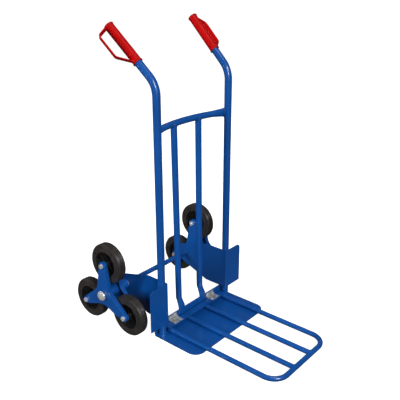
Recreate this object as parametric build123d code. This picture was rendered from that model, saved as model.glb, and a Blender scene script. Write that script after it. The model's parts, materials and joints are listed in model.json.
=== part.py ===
from build123d import *
import os
from math import cos, radians, sin

# Stair-climbing sack truck with a folding toe extension, a three-wheel star on each side
# and hand guards. Millimetres. +Z is up, the load side faces -Y, left is -X and right is +X.
# Everything is drawn from the rails' plane (y = 0); save() moves it so that the origin is
# on the floor at the centre of the whole footprint.

# ---- Rails and handles ----
RAIL_D = 28.0              # bent steel tube
RAIL_WALL = 2.0
RAIL_X = 190.5             # half the distance between the rails
RAIL_BEND_Z = 951.0        # height of the handle bend's corner
RAIL_BEND_R = 86.0
HANDLE_ANGLE = 47.6        # from vertical, towards the user
HANDLE_SPLAY = 4.4         # outwards
HANDLE_LENGTH = 256.0      # from the bend's corner to the end of the tube

# ---- Grips ----
GRIP_START = 95.5          # along the handle from the bend's corner
GRIP_LENGTH = 164.5
GRIP_D = 33.0
GRIP_LIP_D = 36.5
GRIP_LIP = 4.5
GRIP_EDGE_R = 1.2
GUARD_OFFSET = 59.0        # middle of the guard's strap from the handle's centre
GUARD_SPAN = (143.0, 233.0)  # its straight part, along the handle from the bend's corner
GUARD_ROOT = 8.0           # its ends start inside the sleeve, this far from the centre
GUARD_TILT = 14.6          # its plane, below the outward direction
GUARD_TWIST = 18.0         # turn of the strap about its own length
GUARD_STRAP = (18.0, 4.5)
GUARD_EDGE_R = 2.0
GUARD_BEND_R = 12.0

# ---- Crossbar and inner bars ----
BAR_D = 24.0
BAR_WALL = 1.5
CROSSBAR_Z = 792.0
CROSSBAR_END_Y = 9.4
CROSSBAR_BOW = 35.5        # how far its middle stands back from its ends
CROSSBAR_FLARE = 0.15      # share of its length that is flattened at each end
FLAT_HEIGHT = 36.0         # a tube's end pressed flat: width and thickness
FLAT_T = 6.0
INNER_BAR_TOP_X = 66.5
INNER_BAR_FOOT_X = 62.6
INNER_BAR_ROUND_Z = 95.0   # below this the bar is pressed flat and set forward
INNER_BAR_ROUND_Y = 31.8
INNER_BAR_FLAT_Z = 60.0
INNER_BAR_END_Z = 31.0

# ---- Toe plate ----
SHEET = 5.0
TOE_HALF_WIDTH = 215.0
TOE_FRONT_Y = -191.0
TOE_REAR_Y = 20.0
TOE_CORNER_R = 40.0
TOE_REAR_CORNER_R = 6.0
UPSTAND_HALF_WIDTH = 209.0
UPSTAND_TOP_Z = 46.0
UPSTAND_CORNER_R = 10.0
UPSTAND_BEND_R = 4.0

# ---- Brackets that carry the axle ----
BRACKET_T = 3.0
BRACKET_LOW_Z = 52.0
BRACKET_TOP_Z = 221.5
BRACKET_FLANGE_X = 267.0   # outer edge of the front flange
BRACKET_TOP_BACK_Y = 81.0  # where the tapered arm starts
BRACKET_LOW_BACK_Y = 90.0
BRACKET_END_R = 42.0       # round end about the axle
BRACKET_BEND_R = 4.0
FLANGE_CORNER_R = 18.0

# ---- Wheels, stars and axle ----
WHEEL_R = 80.0
TYRE_WIDTH = 36.0
TYRE_SHOULDER_R = 10.0
TYRE_SEAT_R = 52.0         # inside of the tyre, outside of the rim
TREAD_GROOVES = (-10.5, -3.5, 3.5, 10.5)
GROOVE = (1.6, 1.4)        # depth and width of a tread groove
SIDEWALL_RINGS = (58.5, 70.0)
SIDEWALL_RING = (1.6, 0.8)
RIM_WIDTH = 33.0
RIM_BARREL_R = 46.5        # inside of the rim's barrel
RIM_WEB = 6.0
RIM_RIBS = 6
RIM_RIB_T = 3.5
RIM_RIB_WIDTH = 24.0
BOSS_R = 9.8
WHEEL_BUSH_R = 7.0
STAR_R = 122.4             # star's centre to a wheel's centre
STAR_X = 258.0             # middle of the wheels, from the centre plane
STAR_CENTRE_HALF = 40.0    # half widths across the two plates' outer faces:
STAR_ARM_HALF = 37.5       # at the centre, along the arms
STAR_TIP_HALF = 35.0       # and at the tips
STAR_DISH_R = (34.0, 60.0)
STAR_TIP_STEP_R = (98.0, 106.0)
STAR_T = 3.5
STAR_TIP_R = 15.5
STAR_ROOT_HALF = 35.5      # half width of an arm at the star's centre
STAR_CORNER_R = 38.0
STAR_RIM = 11.0            # depth of the folded edge
AXLE_D = 20.0
AXLE_Y = 209.0
AXLE_END_X = 307.0
HUB_R = 19.0
HUB_BORE_R = 13.0
HUB_START_X = 179.0
HUB_END_X = 298.6
BUSH_LENGTH = 22.0
WASHER_R = 16.5
WASHER_T = 2.0
CAP_R = 20.0
CAP_START_X = 301.4
CAP_END_X = 314.0
CAP_CROWN_R = 9.0
RUNNING_GAP = 0.05         # radial clearance of a turning shaft
SIDE_GAP = 0.3             # clearance beside a turning part
BOLT_R = 5.0
HEX_FLATS = 17.0
BOLT_HEAD = 7.0
NUT_HEIGHT = 10.0
BOLT_TIP = 2.0
CHAMFER = 0.8

# ---- Toe extension and its hinges ----
HOOP_D = 19.0
HOOP_WALL = 1.5
HOOP_X = 161.7             # outer tubes; the inner ones divide the space in three
HOOP_FRONT_Y = -499.8
HOOP_REAR_Y = -8.0
HOOP_CORNER_R = 57.0
HOOP_LIFT = 0.4            # gap above the toe plate
STRIP_T = 3.0
STRIP_Y = (-17.0, 10.0)
HINGE_X = 113.0
HINGE_LENGTH = 46.0
LEAF_T = 2.0
KNUCKLE_R = 3.5
KNUCKLES = 5
HINGE_PIN_R = 2.0
LEAF_TOP_Z = 46.0
RIVET_X = 14.0             # either side of a hinge's middle
RIVET_FRONT_Y = -5.0
RIVET_REAR_Z = 40.2
RIVET_R = 2.5
RIVET_HEAD = (4.2, 1.8)    # radius and height of the domed head
RIVET_DOME_R = 1.4
RIVET_TAIL = (3.6, 1.5)

# ---- Worked out from the sizes above ----
STAR_ANGLES = {"top": 0.0, "rear": 120.0, "front": 240.0}
AXLE_Z = WHEEL_R + STAR_R * cos(radians(60))
FOOTPRINT_FRONT = HOOP_FRONT_Y - HOOP_D / 2
FOOTPRINT_REAR = AXLE_Y + STAR_R * sin(radians(120)) + WHEEL_R
ORIGIN_SHIFT = -(FOOTPRINT_FRONT + FOOTPRINT_REAR) / 2
HOOP_Z = SHEET + HOOP_LIFT + HOOP_D / 2
STRIP_Z = HOOP_Z + HOOP_D / 2
LEAF_Z = STRIP_Z + STRIP_T
PIN_Y = TOE_REAR_Y - SIDE_GAP - KNUCKLE_R
PIN_Z = LEAF_Z + KNUCKLE_R
BRACKET_INNER_X = RAIL_X - RAIL_D / 2 - BRACKET_T
AXLE_CENTRE = (0, AXLE_Y, AXLE_Z)

os.makedirs("parts", exist_ok=True)


def save(name, shape):
    """Write one node, moved to the frame whose origin is under the footprint's centre."""
    export_step(Pos(0, ORIGIN_SHIFT, 0) * shape, f"parts/{name}.step")


def save_pair(name, shape):
    """Write a right-hand node as drawn and its left-hand mirror image."""
    save("right_" + name, shape)
    save("left_" + name, mirror(shape, about=Plane.YZ))


def rod(start, end, radius):
    """Solid round bar between two points."""
    line = Line(start, end)
    return extrude(Plane(origin=start, z_dir=line % 0) * Circle(radius), line.length)


def tube(path, diameter, wall):
    """Round tube along a path, open at both ends."""
    ring = Circle(diameter / 2) - Circle(diameter / 2 - wall)
    return sweep(Plane(origin=path @ 0, z_dir=path % 0) * ring, path=path)


def slab(x_range, y_range, z_range):
    """Rectangular block between pairs of coordinates."""
    size = [high - low for low, high in (x_range, y_range, z_range)]
    middle = [(high + low) / 2 for low, high in (x_range, y_range, z_range)]
    return Pos(*middle) * Box(*size)


def ring(x_range, outer, inner, centre=(0, 0, 0)):
    """Round collar along X, with the radii given, between two x values."""
    length = x_range[1] - x_range[0]
    face = Circle(outer) - Circle(inner) if inner else Circle(outer)
    return Plane(origin=(x_range[0], centre[1], centre[2]), z_dir=(1, 0, 0)) * extrude(face, length)


def hexagon_prism(x_range, flats, bore, centre):
    """Hexagon along X with a round bore."""
    face = RegularPolygon(flats / 2, 6, major_radius=False)
    if bore:
        face -= Circle(bore)
    plane = Plane(origin=(x_range[0], centre[1], centre[2]), z_dir=(1, 0, 0))
    return plane * extrude(face, x_range[1] - x_range[0])


# ---- Frame ----
def handle_plane():
    """Plane at the bend's corner: X outwards, Z along the handle."""
    angle = radians(HANDLE_ANGLE)
    splay = radians(HANDLE_SPLAY)
    along = Vector(sin(splay), cos(splay) * sin(angle), cos(splay) * cos(angle))
    return Plane(origin=(RAIL_X, 0, RAIL_BEND_Z), x_dir=(cos(splay), -sin(splay), 0), z_dir=along)


def rail():
    plane = handle_plane()
    end = plane.origin + plane.z_dir * HANDLE_LENGTH
    path = FilletPolyline((RAIL_X, 0, SHEET), plane.origin, end, radius=RAIL_BEND_R)
    return tube(path, RAIL_D, RAIL_WALL)


def grip_guard():
    """Flat strap from one end of the sleeve to the other, in the sleeve's own frame."""
    low = GRIP_START + GRIP_LIP
    high = GRIP_START + GRIP_LENGTH - GRIP_LIP
    path = FilletPolyline(
        (GUARD_ROOT, 0, low), (GUARD_OFFSET, 0, GUARD_SPAN[0]),
        (GUARD_OFFSET, 0, GUARD_SPAN[1]), (GUARD_ROOT, 0, high), radius=GUARD_BEND_R)
    section = Plane(origin=path @ 0, x_dir=(0, 1, 0), z_dir=path % 0) * Rot(0, 0, GUARD_TWIST)
    return sweep(section * RectangleRounded(*GUARD_STRAP, GUARD_EDGE_R), path=path)


def grip():
    """Moulded sleeve with a closed end, a lip at each end and a finger guard."""
    sleeve = Pos(0, 0, GRIP_START) * extrude(Circle(GRIP_D / 2), GRIP_LENGTH)
    for start in (GRIP_START, GRIP_START + GRIP_LENGTH - GRIP_LIP):
        lip = Pos(0, 0, start) * extrude(Circle(GRIP_LIP_D / 2), GRIP_LIP)
        sleeve += fillet(lip.edges().filter_by(GeomType.CIRCLE), GRIP_EDGE_R)
    bore = extrude(Circle(RAIL_D / 2), HANDLE_LENGTH)
    return handle_plane() * (sleeve + Rot(0, 0, GUARD_TILT) * grip_guard() - bore)


def crossbar_arc():
    return ThreePointArc(
        (-RAIL_X, CROSSBAR_END_Y, CROSSBAR_Z), (0, CROSSBAR_END_Y + CROSSBAR_BOW, CROSSBAR_Z),
        (RAIL_X, CROSSBAR_END_Y, CROSSBAR_Z))


def crossbar_body(trim):
    """Bowed bar with pressed ends, its surface set in by trim."""
    arc = crossbar_arc()
    radius = BAR_D / 2 - trim
    middle = arc.trim(CROSSBAR_FLARE, 1 - CROSSBAR_FLARE)
    body = sweep(Plane(origin=middle @ 0, z_dir=middle % 0) * Circle(radius), path=middle)
    for end, root in ((0, CROSSBAR_FLARE), (1, 1 - CROSSBAR_FLARE)):
        round_plane = Plane(origin=arc @ root, x_dir=(0, 0, 1), z_dir=arc % root)
        flat_plane = Plane(origin=arc @ end, x_dir=(0, 0, 1), z_dir=arc % end)
        flat = Ellipse(FLAT_HEIGHT / 2 - trim, FLAT_T / 2 - trim)
        body += loft([round_plane * Circle(radius), flat_plane * flat])
    return body


def crossbar():
    bar = crossbar_body(0) - crossbar_body(BAR_WALL)
    for side in (-1, 1):
        bar -= rod((side * RAIL_X, 0, SHEET), (side * RAIL_X, 0, RAIL_BEND_Z), RAIL_D / 2)
    return bar


def inner_bar_body(trim):
    """Upright from the crossbar down to its pressed foot, its surface set in by trim."""
    arc = crossbar_arc()
    share = (RAIL_X + INNER_BAR_TOP_X) / (2 * RAIL_X)
    top = (INNER_BAR_TOP_X, (arc @ share).Y, CROSSBAR_Z)
    knee = (INNER_BAR_FOOT_X, INNER_BAR_ROUND_Y, INNER_BAR_ROUND_Z)
    foot_y = TOE_REAR_Y - FLAT_T / 2
    body = rod(knee, top, BAR_D / 2 - trim)
    flat = Ellipse(FLAT_HEIGHT / 2 - trim, FLAT_T / 2 - trim)
    knee_plane = Plane(origin=knee, x_dir=(1, 0, 0), z_dir=Line(knee, top) % 0)
    flat_plane = Plane(origin=(INNER_BAR_FOOT_X, foot_y, INNER_BAR_FLAT_Z))
    body += loft([flat_plane * flat, knee_plane * Circle(BAR_D / 2 - trim)])
    body += flat_plane * extrude(flat, INNER_BAR_END_Z - INNER_BAR_FLAT_Z)
    return body


def inner_bar():
    return inner_bar_body(0) - inner_bar_body(BAR_WALL) - crossbar_body(0)


def toe_plate():
    """Bent sheet: a flat blade with a low upstand behind the rails."""
    blade = slab((-TOE_HALF_WIDTH, TOE_HALF_WIDTH), (TOE_FRONT_Y, TOE_REAR_Y), (0, SHEET))
    upright = blade.edges().filter_by(Axis.Z)
    blade = fillet(upright.group_by(Axis.Y)[0], TOE_CORNER_R)
    blade = fillet(blade.edges().filter_by(Axis.Z).group_by(Axis.Y)[-1], TOE_REAR_CORNER_R)
    rear = (TOE_REAR_Y, TOE_REAR_Y + SHEET)
    upstand = slab((-UPSTAND_HALF_WIDTH, UPSTAND_HALF_WIDTH), rear, (0, UPSTAND_TOP_Z))
    upstand = fillet(upstand.edges().filter_by(Axis.Y).group_by(Axis.Z)[-1], UPSTAND_CORNER_R)
    bend = upstand.edges().filter_by(Axis.X).group_by(Axis.Z)[0].sort_by(Axis.Y)[-1]
    upstand = fillet(bend, UPSTAND_BEND_R)
    for x in rivet_places():
        upstand -= rod((x, rear[0], RIVET_REAR_Z), (x, rear[1], RIVET_REAR_Z), RIVET_R)
    return blade + upstand


def bracket():
    """Folded sheet: a front flange beside the rail and an arm back to the axle."""
    front_y = -RAIL_D / 2 - BRACKET_T
    corners = [
        (front_y, BRACKET_LOW_Z), (BRACKET_LOW_BACK_Y, BRACKET_LOW_Z),
        (BRACKET_TOP_BACK_Y, BRACKET_TOP_Z), (front_y, BRACKET_TOP_Z)]
    sheet_edges = Polyline(*corners, close=True).edges()
    round_end = Pos(AXLE_Y, AXLE_Z) * CenterArc((0, 0), BRACKET_END_R, 0, 360)
    arm = make_hull(sheet_edges + [round_end.edge()])
    arm_plane = Plane(origin=(BRACKET_INNER_X, 0, 0), x_dir=(0, 1, 0), z_dir=(1, 0, 0))
    side = arm_plane * extrude(arm, BRACKET_T)
    flange = slab(
        (BRACKET_INNER_X, BRACKET_FLANGE_X), (front_y, front_y + BRACKET_T),
        (BRACKET_LOW_Z, BRACKET_TOP_Z))
    corner = flange.edges().filter_by(Axis.Y).group_by(Axis.X)[-1].sort_by(Axis.Z)[-1]
    flange = fillet(corner, FLANGE_CORNER_R)
    folded = side + flange
    fold = folded.edges().filter_by(Axis.Z).group_by(Axis.Y)[0].sort_by(Axis.X)[0]
    folded = fillet(fold, BRACKET_BEND_R)
    return folded - ring((0, AXLE_END_X), AXLE_D / 2, 0, AXLE_CENTRE)


def axle():
    return chamfer(ring((-AXLE_END_X, AXLE_END_X), AXLE_D / 2, 0, AXLE_CENTRE).edges(), CHAMFER)


def axle_washers():
    """One washer each side of each star's hub."""
    bracket_face = RAIL_X - RAIL_D / 2
    washers = []
    for x in (bracket_face, HUB_END_X + SIDE_GAP):
        washer = ring((x, x + WASHER_T), WASHER_R, AXLE_D / 2, AXLE_CENTRE)
        washers += [washer, mirror(washer, about=Plane.YZ)]
    return Compound(children=washers)


def axle_caps():
    """Push-on caps with a rounded crown over the axle's ends."""
    cap = ring((CAP_START_X, CAP_END_X), CAP_R, 0, AXLE_CENTRE)
    crown = cap.edges().group_by(Axis.X)[-1]
    cap = fillet(crown, CAP_CROWN_R) - ring((0, AXLE_END_X), AXLE_D / 2, 0, AXLE_CENTRE)
    return Compound(children=[cap, mirror(cap, about=Plane.YZ)])


# ---- Hinges ----
def rivet_places():
    return [side * HINGE_X + step for side in (-1, 1) for step in (-RIVET_X, RIVET_X)]


def knuckle_spans(parity):
    """x ranges of every other knuckle, counted from one end of the hinge."""
    pitch = HINGE_LENGTH / KNUCKLES
    start = HINGE_X - HINGE_LENGTH / 2
    return [(start + i * pitch, start + (i + 1) * pitch) for i in range(parity, KNUCKLES, 2)]


def leaf(plate, own, other, bore):
    """Hinge leaf: its plate cleared round the other leaf's knuckles, with its own added."""
    pin_centre = (0, PIN_Y, PIN_Z)
    for start, end in knuckle_spans(other):
        span = (start - SIDE_GAP / 2, end + SIDE_GAP / 2)
        plate -= ring(span, KNUCKLE_R + SIDE_GAP, 0, pin_centre)
    for start, end in knuckle_spans(own):
        plate += ring((start + SIDE_GAP / 2, end - SIDE_GAP / 2), KNUCKLE_R, 0, pin_centre)
    return plate - ring((0, RAIL_X), bore, 0, pin_centre)


def hinge_rear_leaf():
    x_range = (HINGE_X - HINGE_LENGTH / 2, HINGE_X + HINGE_LENGTH / 2)
    plate = slab(x_range, (TOE_REAR_Y - LEAF_T, TOE_REAR_Y), (PIN_Z, LEAF_TOP_Z))
    for step in (-RIVET_X, RIVET_X):
        x = HINGE_X + step
        plate -= rod((x, 0, RIVET_REAR_Z), (x, TOE_REAR_Y, RIVET_REAR_Z), RIVET_R)
    return leaf(plate, 0, 1, HINGE_PIN_R)


def hinge_front_leaf():
    x_range = (HINGE_X - HINGE_LENGTH / 2, HINGE_X + HINGE_LENGTH / 2)
    plate = slab(x_range, (STRIP_Y[0], PIN_Y), (LEAF_Z, LEAF_Z + LEAF_T))
    for step in (-RIVET_X, RIVET_X):
        x = HINGE_X + step
        plate -= rod((x, RIVET_FRONT_Y, 0), (x, RIVET_FRONT_Y, PIN_Z), RIVET_R)
    return leaf(plate, 1, 0, HINGE_PIN_R + RUNNING_GAP)


def hinge_pins():
    span = (HINGE_X - HINGE_LENGTH / 2, HINGE_X + HINGE_LENGTH / 2)
    pin = ring(span, HINGE_PIN_R, 0, (0, PIN_Y, PIN_Z))
    return Compound(children=[pin, mirror(pin, about=Plane.YZ)])


def rivet(grip_length):
    """Rivet along Z: its domed head above z = 0, its shank and tail below."""
    head = extrude(Circle(RIVET_HEAD[0]), RIVET_HEAD[1])
    head = fillet(head.edges().group_by(Axis.Z)[-1], RIVET_DOME_R)
    shank = extrude(Circle(RIVET_R), -grip_length)
    tail = Pos(0, 0, -grip_length) * extrude(Circle(RIVET_TAIL[0]), -RIVET_TAIL[1])
    return head + shank + tail


def rear_hinge_rivets():
    stack = LEAF_T + SHEET
    face_y = TOE_REAR_Y - LEAF_T
    places = [Pos(x, face_y, RIVET_REAR_Z) * Rot(90, 0, 0) for x in rivet_places()]
    return Compound(children=[place * rivet(stack) for place in places])


def front_hinge_rivets():
    stack = LEAF_T + STRIP_T
    places = [Pos(x, RIVET_FRONT_Y, LEAF_Z + LEAF_T) for x in rivet_places()]
    return Compound(children=[place * rivet(stack) for place in places])


# ---- Toe extension ----
def extension_hoop():
    path = FilletPolyline(
        (-HOOP_X, HOOP_REAR_Y, HOOP_Z), (-HOOP_X, HOOP_FRONT_Y, HOOP_Z),
        (HOOP_X, HOOP_FRONT_Y, HOOP_Z), (HOOP_X, HOOP_REAR_Y, HOOP_Z), radius=HOOP_CORNER_R)
    return tube(path, HOOP_D, HOOP_WALL)


def extension_bar():
    """Straight inner tube, its front end shaped to the hoop's front."""
    x = HOOP_X / 3
    bar = tube(Line((x, HOOP_REAR_Y, HOOP_Z), (x, HOOP_FRONT_Y, HOOP_Z)), HOOP_D, HOOP_WALL)
    return bar - rod((0, HOOP_FRONT_Y, HOOP_Z), (HOOP_X, HOOP_FRONT_Y, HOOP_Z), HOOP_D / 2)


def extension_strip():
    half = HOOP_X + HOOP_D / 2
    strip = slab((-half, half), STRIP_Y, (STRIP_Z, STRIP_Z + STRIP_T))
    for x in rivet_places():
        strip -= rod((x, RIVET_FRONT_Y, 0), (x, RIVET_FRONT_Y, PIN_Z), RIVET_R)
    return strip


# ---- Stars, drawn with their middle at the origin and their axis along X ----
def star_outline(inset):
    """Three tapered arms with round tips and hollow corners, set in all round."""
    half_tip = STAR_TIP_R - inset
    half_root = STAR_ROOT_HALF - inset
    outline = Sketch()
    for angle in STAR_ANGLES.values():
        corners = [(-half_root, 0), (-half_tip, STAR_R), (half_tip, STAR_R), (half_root, 0)]
        arm = make_face(Polyline(*corners, close=True))
        arm += Pos(0, STAR_R) * Circle(half_tip)
        outline += Rot(0, 0, angle) * arm
    waist = outline.vertices().sort_by_distance((0, 0))[:3]
    return fillet(waist, STAR_CORNER_R + inset)


def star_prism(inset):
    plane = Plane(origin=(0, 0, 0), x_dir=(0, 1, 0), z_dir=(1, 0, 0))
    return plane * extrude(star_outline(inset), 2 * STAR_CENTRE_HALF)


def star_crown(sink, floor):
    """Dished disc: its face steps down from the centre to the arms and to the tips."""
    reach = STAR_R + 2 * STAR_TIP_R
    face = [
        (0, floor), (0, STAR_CENTRE_HALF - sink), (STAR_DISH_R[0], STAR_CENTRE_HALF - sink),
        (STAR_DISH_R[1], STAR_ARM_HALF - sink), (STAR_TIP_STEP_R[0], STAR_ARM_HALF - sink),
        (STAR_TIP_STEP_R[1], STAR_TIP_HALF - sink), (reach, STAR_TIP_HALF - sink), (reach, floor)]
    plane = Plane(origin=(0, 0, 0), x_dir=(0, 1, 0), z_dir=(0, 0, -1))
    return revolve(plane * make_face(Polyline(*face, close=True)), Axis.X)


def star_plate():
    """Pressed outer plate with a folded edge, holes for the hub and the wheel bolts."""
    edge_x = STAR_TIP_HALF - STAR_T - STAR_RIM
    outside = star_prism(0) & star_crown(0, edge_x)
    inside = star_prism(STAR_T) & star_crown(STAR_T, 0)
    plate = outside - inside - ring((0, 2 * STAR_X), HUB_R, 0)
    for centre in star_tips():
        plate -= ring((0, STAR_X), BOLT_R, 0, centre)
    return plate


def star_tips():
    places = [radians(angle) for angle in STAR_ANGLES.values()]
    return [(0, STAR_R * sin(place), STAR_R * cos(place)) for place in places]


def star_hub():
    return ring((HUB_START_X - STAR_X, HUB_END_X - STAR_X), HUB_R, HUB_BORE_R)


def star_bushes():
    start = HUB_START_X - STAR_X
    end = HUB_END_X - STAR_X
    bore = AXLE_D / 2 + RUNNING_GAP
    spans = ((start, start + BUSH_LENGTH), (end - BUSH_LENGTH, end))
    return Compound(children=[ring(span, HUB_BORE_R, bore) for span in spans])


def wheel_bolts():
    bolts = []
    for centre in star_tips():
        shank = ring((-STAR_TIP_HALF - NUT_HEIGHT - BOLT_TIP, STAR_TIP_HALF), BOLT_R, 0, centre)
        shank = chamfer(shank.edges().group_by(Axis.X)[0], CHAMFER)
        head = hexagon_prism((STAR_TIP_HALF, STAR_TIP_HALF + BOLT_HEAD), HEX_FLATS, 0, centre)
        bolts.append(shank + head)
    return Compound(children=bolts)


def wheel_nuts():
    span = (-STAR_TIP_HALF - NUT_HEIGHT, -STAR_TIP_HALF)
    return Compound(children=[hexagon_prism(span, HEX_FLATS, BOLT_R, centre) for centre in star_tips()])


# ---- Wheel, drawn about the X axis ----
RADIAL = Plane(origin=(0, 0, 0), x_dir=(0, 1, 0), z_dir=(0, 0, 1))


def band(radii, half_width):
    """Rectangle of a wheel's section, between two radii."""
    depth = radii[1] - radii[0]
    return Pos((radii[0] + radii[1]) / 2, 0) * Rectangle(depth, 2 * half_width)


def tyre():
    """Solid rubber tyre with grooves round its tread and rings on its sides."""
    section = band((TYRE_SEAT_R, WHEEL_R), TYRE_WIDTH / 2)
    section = fillet(section.vertices().group_by(Axis.X)[-1], TYRE_SHOULDER_R)
    depth, width = GROOVE
    for x in TREAD_GROOVES:
        section -= Pos(0, x) * band((WHEEL_R - depth, WHEEL_R), width / 2)
    width, depth = SIDEWALL_RING
    for radius in SIDEWALL_RINGS:
        for side in (-1, 1):
            section -= Pos(radius, side * TYRE_WIDTH / 2) * Rectangle(width, 2 * depth)
    return revolve(RADIAL * section, Axis.X)


def rim():
    """Moulded rim: a barrel, a web with ribs, and a long boss for the bush."""
    section = band((RIM_BARREL_R, TYRE_SEAT_R), RIM_WIDTH / 2)
    section += band((WHEEL_BUSH_R, RIM_BARREL_R), RIM_WEB / 2)
    section += band((WHEEL_BUSH_R, BOSS_R), STAR_TIP_HALF - STAR_T - SIDE_GAP)
    moulding = revolve(RADIAL * section, Axis.X)
    reach = (BOSS_R + RIM_BARREL_R) / 2
    for i in range(RIM_RIBS):
        rib = Pos(0, 0, reach) * Box(RIM_RIB_WIDTH, RIM_RIB_T, RIM_BARREL_R - BOSS_R + RIM_RIB_T)
        moulding += Rot(i * 360 / RIM_RIBS, 0, 0) * rib
    return moulding - ring((-STAR_X, STAR_X), WHEEL_BUSH_R, 0)


def wheel_bush():
    half = STAR_TIP_HALF - STAR_T - SIDE_GAP
    return ring((-half, half), WHEEL_BUSH_R, BOLT_R + RUNNING_GAP)


def write_frame():
    save_pair("rail", rail())
    save_pair("grip", grip())
    save_pair("inner_bar", inner_bar())
    save_pair("bracket", bracket())
    save("crossbar", crossbar())
    save("toe_plate", toe_plate())
    save("axle", axle())
    save("axle_washers", axle_washers())
    save("axle_caps", axle_caps())
    save_pair("hinge_rear_leaf", hinge_rear_leaf())
    save("hinge_pins", hinge_pins())
    save("rear_hinge_rivets", rear_hinge_rivets())


def write_extension():
    save("extension_hoop", extension_hoop())
    save_pair("extension_bar", extension_bar())
    save("extension_strip", extension_strip())
    save_pair("hinge_front_leaf", hinge_front_leaf())
    save("front_hinge_rivets", front_hinge_rivets())


def write_stars():
    place = Pos(STAR_X, AXLE_Y, AXLE_Z)
    plate = star_plate()
    save_pair("star_outer_plate", place * plate)
    save_pair("star_inner_plate", place * mirror(plate, about=Plane.YZ))
    save_pair("star_hub", place * star_hub())
    save_pair("star_bushes", place * star_bushes())
    save_pair("wheel_bolts", place * wheel_bolts())
    save_pair("wheel_nuts", place * wheel_nuts())


def write_wheels():
    pieces = {"tyre": tyre(), "rim": rim(), "wheel_bush": wheel_bush()}
    for position, centre in zip(STAR_ANGLES, star_tips()):
        place = Pos(STAR_X, AXLE_Y + centre[1], AXLE_Z + centre[2])
        for name, shape in pieces.items():
            save_pair(f"{position}_{name}", place * shape)


write_frame()
write_extension()
write_stars()
write_wheels()
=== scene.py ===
"""Looks of the stair-climbing sack truck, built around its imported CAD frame.

Metres, +Z up, the load side faces -Y. Left is -X and right is +X, facing the load side.
"""

import json
import math

import bmesh
import bpy
from mathutils import Matrix, Vector


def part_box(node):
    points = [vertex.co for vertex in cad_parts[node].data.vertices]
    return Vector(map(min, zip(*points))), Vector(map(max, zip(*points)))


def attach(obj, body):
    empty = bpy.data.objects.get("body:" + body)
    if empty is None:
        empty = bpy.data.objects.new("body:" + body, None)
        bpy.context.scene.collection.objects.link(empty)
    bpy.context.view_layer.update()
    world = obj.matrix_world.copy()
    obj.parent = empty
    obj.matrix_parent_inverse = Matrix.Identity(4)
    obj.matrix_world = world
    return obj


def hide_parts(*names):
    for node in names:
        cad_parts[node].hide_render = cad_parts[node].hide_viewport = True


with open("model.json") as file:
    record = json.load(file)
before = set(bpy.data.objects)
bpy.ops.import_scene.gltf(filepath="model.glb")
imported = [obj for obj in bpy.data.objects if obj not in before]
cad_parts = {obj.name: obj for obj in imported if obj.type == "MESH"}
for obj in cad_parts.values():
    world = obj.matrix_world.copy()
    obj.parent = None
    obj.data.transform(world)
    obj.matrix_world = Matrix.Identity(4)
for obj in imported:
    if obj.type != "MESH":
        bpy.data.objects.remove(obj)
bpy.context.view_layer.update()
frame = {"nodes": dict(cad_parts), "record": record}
NODES = frame["nodes"]
BEHAVIOUR = frame["record"]["behaviour"]
BODY_OF = {node: body for body, nodes in BEHAVIOUR["bodies"].items() for node in nodes}
SLOT_OF = {part["node"]: part["material_slot"] for part in frame["record"]["subparts"]}
JOINT_AT = {joint["name"]: Vector(joint["pos_m"]) for joint in BEHAVIOUR["joints"]}
SIDES = {"left": -1, "right": 1}
WHEELS = ("top", "rear", "front")
MM = 0.001
UP = Vector((0, 0, 1))
ALONG_X = Vector((1, 0, 0))
ALONG_Y = Vector((0, 1, 0))


def put(name, data, place, direction):
    """Add a camera or lamp that looks along direction."""
    thing = bpy.data.objects.new(name, data)
    thing.location = place
    thing.rotation_mode = "QUATERNION"
    thing.rotation_quaternion = Vector(direction).to_track_quat("-Z", "Y")
    bpy.context.scene.collection.objects.link(thing)
    return thing


def set_sockets(node, **values):
    for socket, value in values.items():
        node.inputs[socket.replace("_", " ")].default_value = value


# ---- Camera ----
CAMERA_PLACE = (-1.5732, -1.2961, 1.3240)
CAMERA_AZIMUTH = 49.805       # degrees from +Y towards +X
CAMERA_PITCH = 21.789         # degrees below the horizon
CAMERA_LENS = 54.0            # mm, on a sensor of the width below
CAMERA_SENSOR = 36.0


def add_camera():
    azimuth = math.radians(CAMERA_AZIMUTH)
    pitch = math.radians(CAMERA_PITCH)
    forward = (math.sin(azimuth) * math.cos(pitch), math.cos(azimuth) * math.cos(pitch), -math.sin(pitch))
    data = bpy.data.cameras.new("camera")
    data.lens = CAMERA_LENS
    data.sensor_width = CAMERA_SENSOR
    data.dof.use_dof = False
    bpy.context.scene.camera = put("camera", data, CAMERA_PLACE, forward)


# ---- Materials ----
LOW_STOP = 0.3                # noise value that gives the dark colour
HIGH_STOP = 0.7               # and the light one
COARSE_DETAIL = 4.0           # octaves of noise in a colour or roughness
FINE_DETAIL = 2.0             # and in the relief
ROUGH_GRAIN = 2.5             # grain of a metal's roughness, against its colour's
RELIEF_GRAIN = 8.0            # and of its relief
METAL_RELIEF = 0.5            # strength of its relief


def new_material(name):
    material = bpy.data.materials.new(name)
    material.use_nodes = True
    return material, material.node_tree, material.node_tree.nodes["Principled BSDF"]


def noise(tree, scale, detail):
    """Noise over the object's own metres."""
    coordinates = tree.nodes.new("ShaderNodeTexCoord")
    texture = tree.nodes.new("ShaderNodeTexNoise")
    set_sockets(texture, Scale=scale, Detail=detail)
    tree.links.new(coordinates.outputs["Object"], texture.inputs["Vector"])
    return texture.outputs["Fac"]


def ramp(tree, value, dark, light):
    node = tree.nodes.new("ShaderNodeValToRGB")
    for element, position, colour in zip(node.color_ramp.elements, (LOW_STOP, HIGH_STOP), (dark, light)):
        element.position = position
        element.color = (*colour, 1)
    tree.links.new(value, node.inputs["Fac"])
    return node.outputs["Color"]


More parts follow.
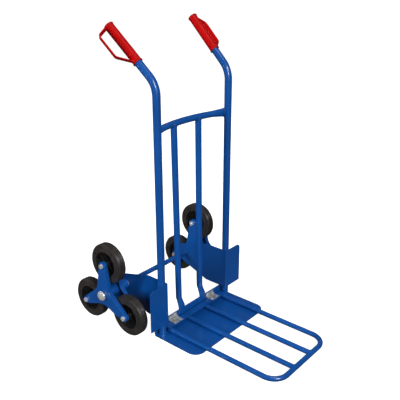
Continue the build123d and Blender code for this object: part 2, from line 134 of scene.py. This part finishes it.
def spread(tree, value, low, high):
    """Value from 0 to 1 turned into a number from low to high."""
    node = tree.nodes.new("ShaderNodeMapRange")
    set_sockets(node, To_Min=low, To_Max=high)
    tree.links.new(value, node.inputs["Value"])
    return node.outputs["Result"]


def bump(tree, height, distance, strength):
    node = tree.nodes.new("ShaderNodeBump")
    set_sockets(node, Distance=distance, Strength=strength)
    tree.links.new(height, node.inputs["Height"])
    return node.outputs["Normal"]


def surface(name, grains, dark, light, roughness, relief, **sockets):
    """Material whose colour, roughness and fine relief vary, on grains given in that order.

    Relief is a height in metres and a strength.
    """
    material, tree, shader = new_material(name)
    colour_noise, rough_noise = (noise(tree, grain, COARSE_DETAIL) for grain in grains[:2])
    relief_noise = noise(tree, grains[2], FINE_DETAIL)
    tree.links.new(ramp(tree, colour_noise, dark, light), shader.inputs["Base Color"])
    tree.links.new(spread(tree, rough_noise, *roughness), shader.inputs["Roughness"])
    tree.links.new(bump(tree, relief_noise, *relief), shader.inputs["Normal"])
    set_sockets(shader, **sockets)
    return material


def powder_coat():
    """Blue powder coat: fine orange peel, slightly thinner and paler over large patches."""
    return surface(
        "blue_powder_coat", grains=(9.0, 60.0, 300.0),
        dark=(0.002, 0.058, 0.25), light=(0.004, 0.070, 0.30), roughness=(0.30, 0.40),
        relief=(0.00002, 0.4), Specular_IOR_Level=0.35, Coat_Weight=0.5, Coat_Roughness=0.06)


def red_plastic():
    return surface(
        "red_moulded_plastic", grains=(25.0, 120.0, 300.0),
        dark=(0.34, 0.001, 0.001), light=(0.42, 0.002, 0.002), roughness=(0.40, 0.48),
        relief=(0.00001, 0.3), Specular_IOR_Level=0.12)


def black_rubber():
    return surface(
        "black_rubber", grains=(45.0, 140.0, 700.0),
        dark=(0.017, 0.015, 0.014), light=(0.032, 0.028, 0.026), roughness=(0.28, 0.44),
        relief=(0.00004, 0.5))


def black_plastic():
    return surface(
        "black_moulded_plastic", grains=(70.0, 220.0, 1500.0),
        dark=(0.003, 0.003, 0.003), light=(0.007, 0.007, 0.007), roughness=(0.38, 0.52),
        relief=(0.00005, 0.5))


def nylon():
    return surface(
        "natural_nylon", grains=(90.0, 300.0, 900.0),
        dark=(0.55, 0.52, 0.44), light=(0.68, 0.66, 0.58), roughness=(0.35, 0.5),
        relief=(0.00001, 0.3))


def metal(name, dark, light, roughness, grain=160.0, height=0.00004, metallic=1.0):
    """Metal whose roughness and relief have finer grains than its colour."""
    grains = (grain, ROUGH_GRAIN * grain, RELIEF_GRAIN * grain)
    return surface(name, grains, dark, light, roughness, (height, METAL_RELIEF), Metallic=metallic)


def turned_steel():
    return metal(
        "turned_steel", dark=(0.36, 0.36, 0.36), light=(0.52, 0.52, 0.52), roughness=(0.28, 0.42))


def spangled_zinc():
    return metal(
        "spangled_zinc", dark=(0.46, 0.48, 0.46), light=(0.90, 0.92, 0.90), roughness=(0.30, 0.46),
        grain=75.0, metallic=0.85)


def bright_zinc():
    return metal(
        "bright_zinc", dark=(0.80, 0.84, 0.88), light=(0.92, 0.95, 0.98), roughness=(0.30, 0.42),
        height=0.00003, metallic=0.7)


def bright_chrome():
    return metal(
        "bright_chrome", dark=(0.88, 0.89, 0.90), light=(0.96, 0.96, 0.97), roughness=(0.14, 0.22),
        height=0.00001, metallic=0.68)


MATERIALS = {
    "blue_steel": powder_coat(),
    "red_grip": red_plastic(),
    "black_tyre": black_rubber(),
    "black_rim": black_plastic(),
    "steel_bush": turned_steel(),
    "nylon_bush": nylon(),
    "zinc_hinge": spangled_zinc(),
    "zinc_fastener": bright_zinc(),
    "chrome_cap": bright_chrome(),
}


def dress_cad():
    for name, node in NODES.items():
        node.data.materials.clear()
        node.data.materials.append(MATERIALS[SLOT_OF[name]])


# ---- Light and floor ----
SKY = (0.94, 0.97, 1.0, 1)
SKY_STRENGTH = 0.06
SUN_DIRECTION = (0.30, 0.86, -0.62)
SUN_ENERGY = 1.3
SUN_ANGLE = 14                # degrees
AREA_LIGHTS = {               # place, target, size, watts, and whether it shows in reflections
    "key": ((-2.0, -3.6, 2.4), (0, 0, 0.45), (0.8, 1.2), 125, True),
    "side": ((-3.4, 1.5, 1.3), (0, 0.1, 0.4), (0.9, 1.8), 95, False),
    "top": ((0.1, -0.4, 4.2), (0, 0, 0.3), (1.6, 1.0), 30, True),
    "back": ((-0.8, 3.4, 3.0), (0, 0, 0.4), (2.0, 1.6), 50, False),
    "right": ((3.6, 0.8, 1.4), (0, 0, 0.5), (1.6, 1.8), 40, False),
}
FLOOR_Z = -0.0005
FLOOR_SIZE = 88.0
FLOOR_GLOW = 0.92             # under full white, so that a faint shadow shows
BACKDROP_R = 40.0
BACKDROP_STEPS = (96, 48)     # round the dome, and from pole to pole
BACKDROP_GLOW = 1.0


def add_sky_and_sun():
    world = bpy.data.worlds.new("studio")
    world.use_nodes = True
    set_sockets(world.node_tree.nodes["Background"], Color=SKY, Strength=SKY_STRENGTH)
    bpy.context.scene.world = world
    sun = bpy.data.lights.new("sun", "SUN")
    sun.energy = SUN_ENERGY
    sun.angle = math.radians(SUN_ANGLE)
    put("sun", sun, (0, 0, 0), SUN_DIRECTION)


def add_area_lights():
    for name, (place, target, size, watts, reflected) in AREA_LIGHTS.items():
        light = bpy.data.lights.new(name, "AREA")
        light.shape = "RECTANGLE"
        light.size, light.size_y = size
        light.energy = watts
        lamp = put(name, light, place, Vector(target) - Vector(place))
        lamp.visible_glossy = reflected


def stage_white(name, glow):
    material, _, shader = new_material(name)
    set_sockets(shader, Base_Color=(0.5, 0.5, 0.5, 1), Roughness=0.8, Specular_IOR_Level=0.0)
    set_sockets(shader, Emission_Color=(1, 1, 1, 1), Emission_Strength=glow)
    return material


def add_stage(thing, name, glow):
    """Name a floor or backdrop; only the camera sees it, so it throws no light on the object."""
    thing.name = name
    thing.visible_diffuse = False
    thing.visible_glossy = False
    thing.data.materials.append(stage_white(f"{name}_white", glow))


def add_floor_and_backdrop():
    bpy.ops.mesh.primitive_plane_add(size=FLOOR_SIZE, location=(0, 0, FLOOR_Z))
    add_stage(bpy.context.object, "floor", FLOOR_GLOW)
    around, upwards = BACKDROP_STEPS
    bpy.ops.mesh.primitive_uv_sphere_add(segments=around, ring_count=upwards, radius=BACKDROP_R)
    dome = bpy.context.object
    dome.visible_shadow = False
    add_stage(dome, "backdrop", BACKDROP_GLOW)


# ---- Mesh tools ----
SAME_POINT = 1e-6
FLAT_ANGLE = 0.4              # degrees between faces that count as one
SHARP_ANGLE = 28.0            # degrees at an edge that gets rounded


def new_piece(name, work, body, slot, *replaced):
    """Finish a bmesh as a smooth-shaded piece that rides on a CAD body."""
    mesh = bpy.data.meshes.new(name)
    work.to_mesh(mesh)
    work.free()
    mesh.shade_smooth()
    mesh.materials.append(MATERIALS[slot])
    piece = bpy.data.objects.new(name, mesh)
    bpy.context.scene.collection.objects.link(piece)
    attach(piece, body)
    if replaced:
        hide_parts(*replaced)
    return piece


def flat_normals(piece):
    """Keep wide flat faces looking flat beside their rounded edges."""
    piece.modifiers.new("normals", "WEIGHTED_NORMAL").weight = 100


def cad_copy(node):
    """A CAD node's mesh with its split vertices joined and its flat faces whole."""
    work = bmesh.new()
    work.from_mesh(NODES[node].data)
    bmesh.ops.remove_doubles(work, verts=work.verts, dist=SAME_POINT)
    bmesh.ops.dissolve_limit(
        work, angle_limit=math.radians(FLAT_ANGLE), verts=work.verts, edges=work.edges)
    return work


def rounded(work, edges, width, segments, clamp=True):
    bmesh.ops.bevel(
        work, geom=edges, offset=width, offset_type="OFFSET", segments=segments, profile=0.5,
        affect="EDGES", clamp_overlap=clamp)


def sharp_edges(work, angle=SHARP_ANGLE):
    return [edge for edge in work.edges if edge.calc_face_angle(0) > math.radians(angle)]


def turns(count):
    return [2 * math.pi * i / count for i in range(count)]


def circle_x(centre, radius, count):
    """Points round a circle that faces along X."""
    return [centre + radius * Vector((0, math.cos(t), math.sin(t))) for t in turns(count)]


def skin(work, rings, closed):
    """Faces between neighbouring rings of vertices; closed joins the last ring to the first."""
    following = rings[1:] + rings[:1] if closed else rings[1:]
    for ring, after in zip(rings, following):
        for j in range(len(ring)):
            k = (j + 1) % len(ring)
            work.faces.new((ring[j], ring[k], after[k], after[j]))
    if not closed:
        work.faces.new(rings[0][::-1])
        work.faces.new(rings[-1])


def lathe(work, centre, profile, steps):
    """Turn closed (x, radius) points about the X axis through centre."""
    rings = []
    for turn in turns(steps):
        rings.append([
            work.verts.new(centre + Vector((x, radius * math.sin(turn), radius * math.cos(turn))))
            for x, radius in profile])
    skin(work, rings, True)


# ---- Sheet metal, fasteners and hinges ----
FOLD_R = 0.0028               # bend along the star plates' edges
FOLD_SEGMENTS = 4
EDGE_SEGMENTS = 3
HUB_CLEAR = 24 * MM           # no fold nearer than this to the star's axle
BOLT_CLEAR = 8 * MM           # or this to a wheel's bolt
FACING = 0.7                  # least part of a normal that counts as along X
ASIDE = 0.3                   # most that counts as across it
PLATE_WIDTH = 0.0006
SIDE_WIDTHS = {
    "bracket": 0.0011, "star_hub": 0.0006,
    "wheel_bolts": 0.0009, "wheel_nuts": 0.0009, "hinge_rear_leaf": 0.0004, "hinge_front_leaf": 0.0004,
}
SHARED_WIDTHS = {
    "toe_plate": 0.0012, "extension_strip": 0.0008, "axle_washers": 0.0005,
    "rear_hinge_rivets": 0.0003, "front_hinge_rivets": 0.0003,
}


def fold_edges(work, side, outward):
    """A star plate's edges where the face on the outward side folds over, its bores left out."""
    bores = [(JOINT_AT[f"{side}_star_spin"], HUB_CLEAR)]
    bores += [(JOINT_AT[f"{side}_{place}_wheel_spin"], BOLT_CLEAR) for place in WHEELS]
    folds = []
    for edge in sharp_edges(work):
        across = sorted(face.normal.x * outward for face in edge.link_faces)
        away = all((vert.co - at).yz.length > reach for at, reach in bores for vert in edge.verts)
        if away and across[-1] > FACING and abs(across[0]) < ASIDE:
            folds.append(edge)
    return folds


def softened(node, width, side="", outward=0):
    """A piece in the place of a CAD node, with the node's sharp edges rounded."""
    work = cad_copy(node)
    if outward:
        rounded(work, fold_edges(work, side, outward), FOLD_R, FOLD_SEGMENTS)
    rounded(work, sharp_edges(work), width, EDGE_SEGMENTS)
    bmesh.ops.triangulate(work, faces=[face for face in work.faces if len(face.verts) > 4])
    flat_normals(new_piece("soft_" + node, work, BODY_OF[node], SLOT_OF[node], node))


def soften_sheets():
    for side, sign in SIDES.items():
        for name, width in SIDE_WIDTHS.items():
            softened(f"{side}_{name}", width)
        softened(f"{side}_star_outer_plate", PLATE_WIDTH, side, sign)
        softened(f"{side}_star_inner_plate", PLATE_WIDTH, side, -sign)
    for name, width in SHARED_WIDTHS.items():
        softened(name, width)


# ---- Wheels ----
TYRE_STEPS = 128
TREAD_GROOVES = (11.2, 6.4, 1.6)   # mm from the middle of the tread
GROOVE_SHAPE = (              # mm across, radius, and how fast the radius falls away from the middle
    (0.95, 79.75, 0.035), (0.6, 79.2, 0.03), (0.4, 78.0, 0.02),
    (-0.4, 78.1, 0.02), (-0.6, 79.3, 0.03), (-0.95, 79.85, 0.03))
RIM_STEPS = 72
RIM_SHARP_ANGLE = 50          # degrees
RIM_EDGE_R = 0.0004
RIM_EDGE_SEGMENTS = 2
RIM_RIBS = 6
RIB_REACH = 11.5 * MM         # from the web's middle to the rib's outer face
RIB_HALF = 1.9 * MM           # half its thickness, at the web
RIB_TAPER = 0.7               # and how much of that is left at the outer face
RIB_LOW = 9.5 * MM            # inside the boss
RIB_HIGH = 46.8 * MM          # inside the barrel


def mirrored(half):
    """Closed section in metres from its half on the +X side (mm), given from the inside outwards."""
    whole = half + [(-x, radius) for x, radius in reversed(half)]
    return [(x * MM, radius * MM) for x, radius in whole]


def arc(centre_x, centre_r, radius, start, end, steps):
    """Points of an arc in the section; 0 degrees is towards +X and 90 away from the axle."""
    angles = [math.radians(start + (end - start) * i / steps) for i in range(steps + 1)]
    return [(centre_x + radius * math.cos(t), centre_r + radius * math.sin(t)) for t in angles]


def tyre_section():
    """Half section of a tyre (mm): bead, ringed sidewall, round shoulder, grooved tread."""
    seat = [(15.2, 51.9), (16.7, 51.5), (17.0, 50.2)]
    inner_ring = [(17.6, 49.8), (18.0, 50.6), (18.0, 53.6), (17.8, 55.6), (17.1, 56.4), (16.6, 57.6)]
    middle_ring = [
        (16.6, 58.6), (17.1, 59.6), (17.8, 60.3), (18.0, 61.2), (17.8, 62.2), (17.2, 63.0), (17.1, 64.0)]
    outer_ring = [(17.5, 64.8), (18.0, 65.6), (17.9, 66.8), (17.2, 67.6), (16.9, 68.6), (17.3, 69.6)]
    shoulder = arc(8.6, 70.6, 9.4, 12, 60, 6)
    tread = [
        (groove + across, radius - fall * groove)
        for groove in TREAD_GROOVES for across, radius, fall in GROOVE_SHAPE]
    return seat + inner_ring + middle_ring + outer_ring + shoulder + tread


def rim_section():
    """Half section of a rim (mm): long boss, thin web and a barrel with rounded lips."""
    boss = [(31.0, 7.2), (31.2, 7.6), (31.2, 9.0), (30.8, 9.6), (14.0, 10.2), (5.0, 11.4), (3.4, 12.6)]
    web = [(3.0, 14.5), (3.0, 38.0), (3.5, 42.0), (5.0, 44.6)]
    barrel = [(7.6, 46.0), (14.6, 46.6), (15.8, 47.4), (16.5, 48.6), (16.6, 50.2), (16.2, 51.4), (15.2, 52.0)]
    return boss + web + barrel


def add_rib(work, centre, turn):
    """Rib on both sides of the web, thinner towards its outer faces."""
    rings = []
    for x, half in ((-RIB_REACH, RIB_HALF * RIB_TAPER), (0, RIB_HALF), (RIB_REACH, RIB_HALF * RIB_TAPER)):
        corners = ((x, -half, RIB_LOW), (x, half, RIB_LOW), (x, half, RIB_HIGH), (x, -half, RIB_HIGH))
        rings.append([work.verts.new(centre + turn @ Vector(corner)) for corner in corners])
    skin(work, rings, False)


def add_rim(side, place):
    node = f"{side}_{place}_rim"
    centre = JOINT_AT[f"{side}_{place}_wheel_spin"]
    work = bmesh.new()
    lathe(work, centre, mirrored(rim_section()), RIM_STEPS)
    for angle in turns(RIM_RIBS):
        add_rib(work, centre, Matrix.Rotation(angle, 3, "X"))
    bmesh.ops.recalc_face_normals(work, faces=work.faces)
    rounded(work, sharp_edges(work, RIM_SHARP_ANGLE), RIM_EDGE_R, RIM_EDGE_SEGMENTS, clamp=False)
    flat_normals(new_piece(f"moulded_{node}", work, BODY_OF[node], "black_rim", node))


def add_tyre(side, place):
    node = f"{side}_{place}_tyre"
    work = bmesh.new()
    lathe(work, JOINT_AT[f"{side}_{place}_wheel_spin"], mirrored(tyre_section()), TYRE_STEPS)
    bmesh.ops.recalc_face_normals(work, faces=work.faces)
    new_piece(f"moulded_{node}", work, BODY_OF[node], "black_tyre", node)


def add_wheels():
    for side in SIDES:
        for place in WHEELS:
            add_tyre(side, place)
            add_rim(side, place)


# ---- Axle caps ----
CAP_STEPS = 64
CAP_SECTION = (               # mm from the truck's middle, and radius, from the flat back to the crown
    (301.4, 0.4), (301.4, 19.2), (301.8, 19.8), (302.6, 20.0), (304.4, 20.0), (306.2, 19.4), (308.2, 18.0),
    (310.2, 15.6), (311.8, 12.6), (313.0, 9.0), (313.7, 5.4), (314.0, 2.4), (314.0, 0.4))


def add_caps():
    """Domed push-on caps over the axle's ends."""
    axle = JOINT_AT["left_star_spin"]
    centre = Vector((0, axle.y, axle.z))
    work = bmesh.new()
    for sign in SIDES.values():
        lathe(work, centre, [(sign * x * MM, radius * MM) for x, radius in CAP_SECTION], CAP_STEPS)
    bmesh.ops.recalc_face_normals(work, faces=work.faces)
    new_piece("domed_axle_caps", work, "frame", "chrome_cap", "axle_caps")


# ---- Grips ----
GRIP_VOXEL = 0.0009
GRIP_SMOOTHING = 14           # passes, each with the factor below
GRIP_SMOOTH_FACTOR = 0.5


def add_grip(side):
    """The moulded grip with its guard blended into the sleeve."""
    node = f"{side}_grip"
    work = cad_copy(node)
    mesh = bpy.data.meshes.new("raw_" + node)
    work.to_mesh(mesh)
    work.free()
    raw = bpy.data.objects.new("raw_" + node, mesh)
    bpy.context.scene.collection.objects.link(raw)
    remesh = raw.modifiers.new("remesh", "REMESH")
    remesh.mode = "VOXEL"
    remesh.voxel_size = GRIP_VOXEL
    smooth = raw.modifiers.new("smooth", "SMOOTH")
    smooth.factor = GRIP_SMOOTH_FACTOR
    smooth.iterations = GRIP_SMOOTHING
    made = bmesh.new()
    made.from_mesh(raw.evaluated_get(bpy.context.evaluated_depsgraph_get()).to_mesh())
    bpy.data.objects.remove(raw)
    new_piece("moulded_" + node, made, "frame", "red_grip", node)


# ---- Welds ----
BEAD_SIDES = 10
BEAD_RIPPLE = 0.14            # part of the radius
BEAD_PHASE = 1.3              # radians of ripple from one point to the next
BEAD_R = {                    # mm
    "rail_foot": 2.3, "crossbar": 1.7, "inner_bar_top": 1.9, "foot": 1.7, "bracket": 1.5, "axle": 1.9,
    "hub": 1.7, "extension_bar": 1.6,
}
BEAD_POINTS = {
    "rail_foot": 72, "crossbar": 56, "inner_bar_top": 64, "foot": 13, "bracket": 82, "axle": 72,
    "hub": 72, "extension_bar": 48,
}
RAIL_X = 190.5 * MM
RAIL_R = 14.0 * MM
RAIL_FOOT_Z = 5.8 * MM        # just above the toe plate
RAIL_FOOT_R = RAIL_R + 0.4 * MM
RAIL_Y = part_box("left_rail")[0][1] + RAIL_R
CROSSBAR_Y = RAIL_Y + 9.4 * MM
CROSSBAR_Z = 792.0 * MM
CROSSBAR_BOW = 35.5 * MM
CROSSBAR_END = (3.4 * MM, 18.4 * MM)   # half depth and half height of the weld round its flat end
CROSSBAR_LIFT = 0.3 * MM      # how far that weld's path stands off the rail
BAR_R = 12.0 * MM             # inner bars
BAR_CLEAR = 0.5 * MM          # the weld's path stands outside the bar
BAR_LIFT = 0.6 * MM           # and off the crossbar
BAR_TOP_X = 66.5 * MM
BAR_FOOT_X = 62.6 * MM
BAR_FOOT_HALF = 17.4 * MM
BAR_FOOT_LOW = 31.0 * MM
UPSTAND_TOP = 46.0 * MM
BAR_FOOT_Y = RAIL_Y + 18.8 * MM
BRACKET_INNER_X = 173.3 * MM
SEAM_X = RAIL_X - RAIL_R - 0.1 * MM
SEAM_LOW = 56                 # mm, lower end of the bracket's seam on the rail
SEAM_PITCH = 2.0              # mm
SEAM_STEPS = {"front": -3.2 * MM, "rear": 3.2 * MM}   # from the rail's plane
STAR_INNER_X = 218.2 * MM
AXLE_R = 10.6 * MM            # just outside the bar, and likewise the hub
HUB_R = 19.5 * MM
TUBE_R = 9.5 * MM             # extension's tubes
TUBE_CLEAR = 0.4 * MM
TUBE_LIFT = 0.5 * MM
TUBE_X = 53.9 * MM
HOOP_Y = RAIL_Y - 499.8 * MM
HOOP_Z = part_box("extension_hoop")[0][2] + TUBE_R


def bead(name, points, kind, normal, body, closed=True):
    """Weld bead along points, its thickness rippled; normal is any direction across the path."""
    work = bmesh.new()
    rings = []
    for i, point in enumerate(points):
        before = points[i - 1] if closed or i else point
        after = points[(i + 1) % len(points)] if closed or i < len(points) - 1 else point
        along = (after - before).normalized()
        side = along.cross(normal).normalized()
        rise = side.cross(along)
        size = BEAD_R[kind] * MM * (1 + BEAD_RIPPLE * math.sin(BEAD_PHASE * i))
        rings.append([
            work.verts.new(point + size * (math.cos(turn) * side + math.sin(turn) * rise))
            for turn in turns(BEAD_SIDES)])
    skin(work, rings, closed)
    bmesh.ops.recalc_face_normals(work, faces=work.faces)
    new_piece(name, work, body, "blue_steel")


def saddle(centre, radius, clear, lift, across, out, count):
    """Closed path where a tube along out sits on one of the same radius that runs along X.

    The path is clear of the first tube and lifted off the second.
    """
    points = []
    for t in turns(count):
        aside = (radius + clear) * math.sin(t)
        height = math.sqrt(max(radius ** 2 - aside ** 2, 0)) + lift
        points.append(centre + (radius + clear) * math.cos(t) * ALONG_X + aside * across + height * out)
    return points


def weld_rails():
    for side, sign in SIDES.items():
        foot = Vector((sign * RAIL_X, RAIL_Y, RAIL_FOOT_Z))
        around = [Vector((math.cos(t), math.sin(t), 0)) for t in turns(BEAD_POINTS["rail_foot"])]
        circle = [foot + RAIL_FOOT_R * step for step in around]
        bead(f"weld_{side}_rail_foot", circle, "rail_foot", UP, "frame")
        bead(f"weld_{side}_crossbar", crossbar_joint(sign), "crossbar", ALONG_X, "frame")


def crossbar_joint(sign):
    """Path round the crossbar's flat end, on the rail's round side."""
    half_depth, half_height = CROSSBAR_END
    path = []
    for t in turns(BEAD_POINTS["crossbar"]):
        across = CROSSBAR_Y - RAIL_Y + half_depth * math.cos(t)
        depth = math.sqrt(max(RAIL_R ** 2 - across ** 2, 0)) + CROSSBAR_LIFT
        path.append(Vector((
            sign * (RAIL_X - depth), RAIL_Y + across, CROSSBAR_Z + half_height * math.sin(t))))
    return path


def crossbar_y(x):
    """The crossbar's centre line, an arc through its ends and middle."""
    radius = (RAIL_X ** 2 + CROSSBAR_BOW ** 2) / (2 * CROSSBAR_BOW)
    return CROSSBAR_Y + CROSSBAR_BOW - radius + math.sqrt(radius ** 2 - x ** 2)


def weld_inner_bars():
    for side, sign in SIDES.items():
        top = Vector((sign * BAR_TOP_X, crossbar_y(BAR_TOP_X), CROSSBAR_Z))
        path = saddle(top, BAR_R, BAR_CLEAR, BAR_LIFT, ALONG_Y, -UP, BEAD_POINTS["inner_bar_top"])
        bead(f"weld_{side}_inner_bar_top", path, "inner_bar_top", UP, "frame")
        for edge in (-1, 1):
            low = Vector((sign * BAR_FOOT_X + edge * BAR_FOOT_HALF, BAR_FOOT_Y, BAR_FOOT_LOW))
            step = (UPSTAND_TOP - BAR_FOOT_LOW) / (BEAD_POINTS["foot"] - 1)
            line = [low + i * step * UP for i in range(BEAD_POINTS["foot"])]
            name = f"weld_{side}_foot_{'inner' if edge * sign < 0 else 'outer'}"
            bead(name, line, "foot", ALONG_X, "frame", closed=False)


def weld_brackets():
    for side, sign in SIDES.items():
        for name, step in SEAM_STEPS.items():
            line = [
                Vector((sign * SEAM_X, RAIL_Y + step, (SEAM_LOW + SEAM_PITCH * i) * MM))
                for i in range(BEAD_POINTS["bracket"])]
            bead(f"weld_{side}_bracket_{name}", line, "bracket", ALONG_X, "frame", closed=False)
        hole = Vector((sign * BRACKET_INNER_X, *JOINT_AT[f"{side}_star_spin"].yz))
        circle = circle_x(hole, AXLE_R, BEAD_POINTS["axle"])
        bead(f"weld_{side}_axle_inner", circle, "axle", ALONG_X, "frame")


def weld_stars():
    for side, sign in SIDES.items():
        hub = Vector((sign * STAR_INNER_X, *JOINT_AT[f"{side}_star_spin"].yz))
        circle = circle_x(hub, HUB_R, BEAD_POINTS["hub"])
        bead(f"weld_{side}_hub_inner", circle, "hub", ALONG_X, f"{side}_star")


def weld_extension():
    for side, sign in SIDES.items():
        end = Vector((sign * TUBE_X, HOOP_Y, HOOP_Z))
        path = saddle(end, TUBE_R, TUBE_CLEAR, TUBE_LIFT, UP, ALONG_Y, BEAD_POINTS["extension_bar"])
        bead(f"weld_{side}_extension_bar", path, "extension_bar", ALONG_Y, "extension")


def add_welds():
    weld_rails()
    weld_inner_bars()
    weld_brackets()
    weld_stars()
    weld_extension()


# ---- Build ----
bpy.context.scene.view_settings.view_transform = "Standard"
add_camera()
add_sky_and_sun()
add_area_lights()
add_floor_and_backdrop()
dress_cad()
soften_sheets()
add_wheels()
add_caps()
for grip_side in SIDES:
    add_grip(grip_side)
add_welds()
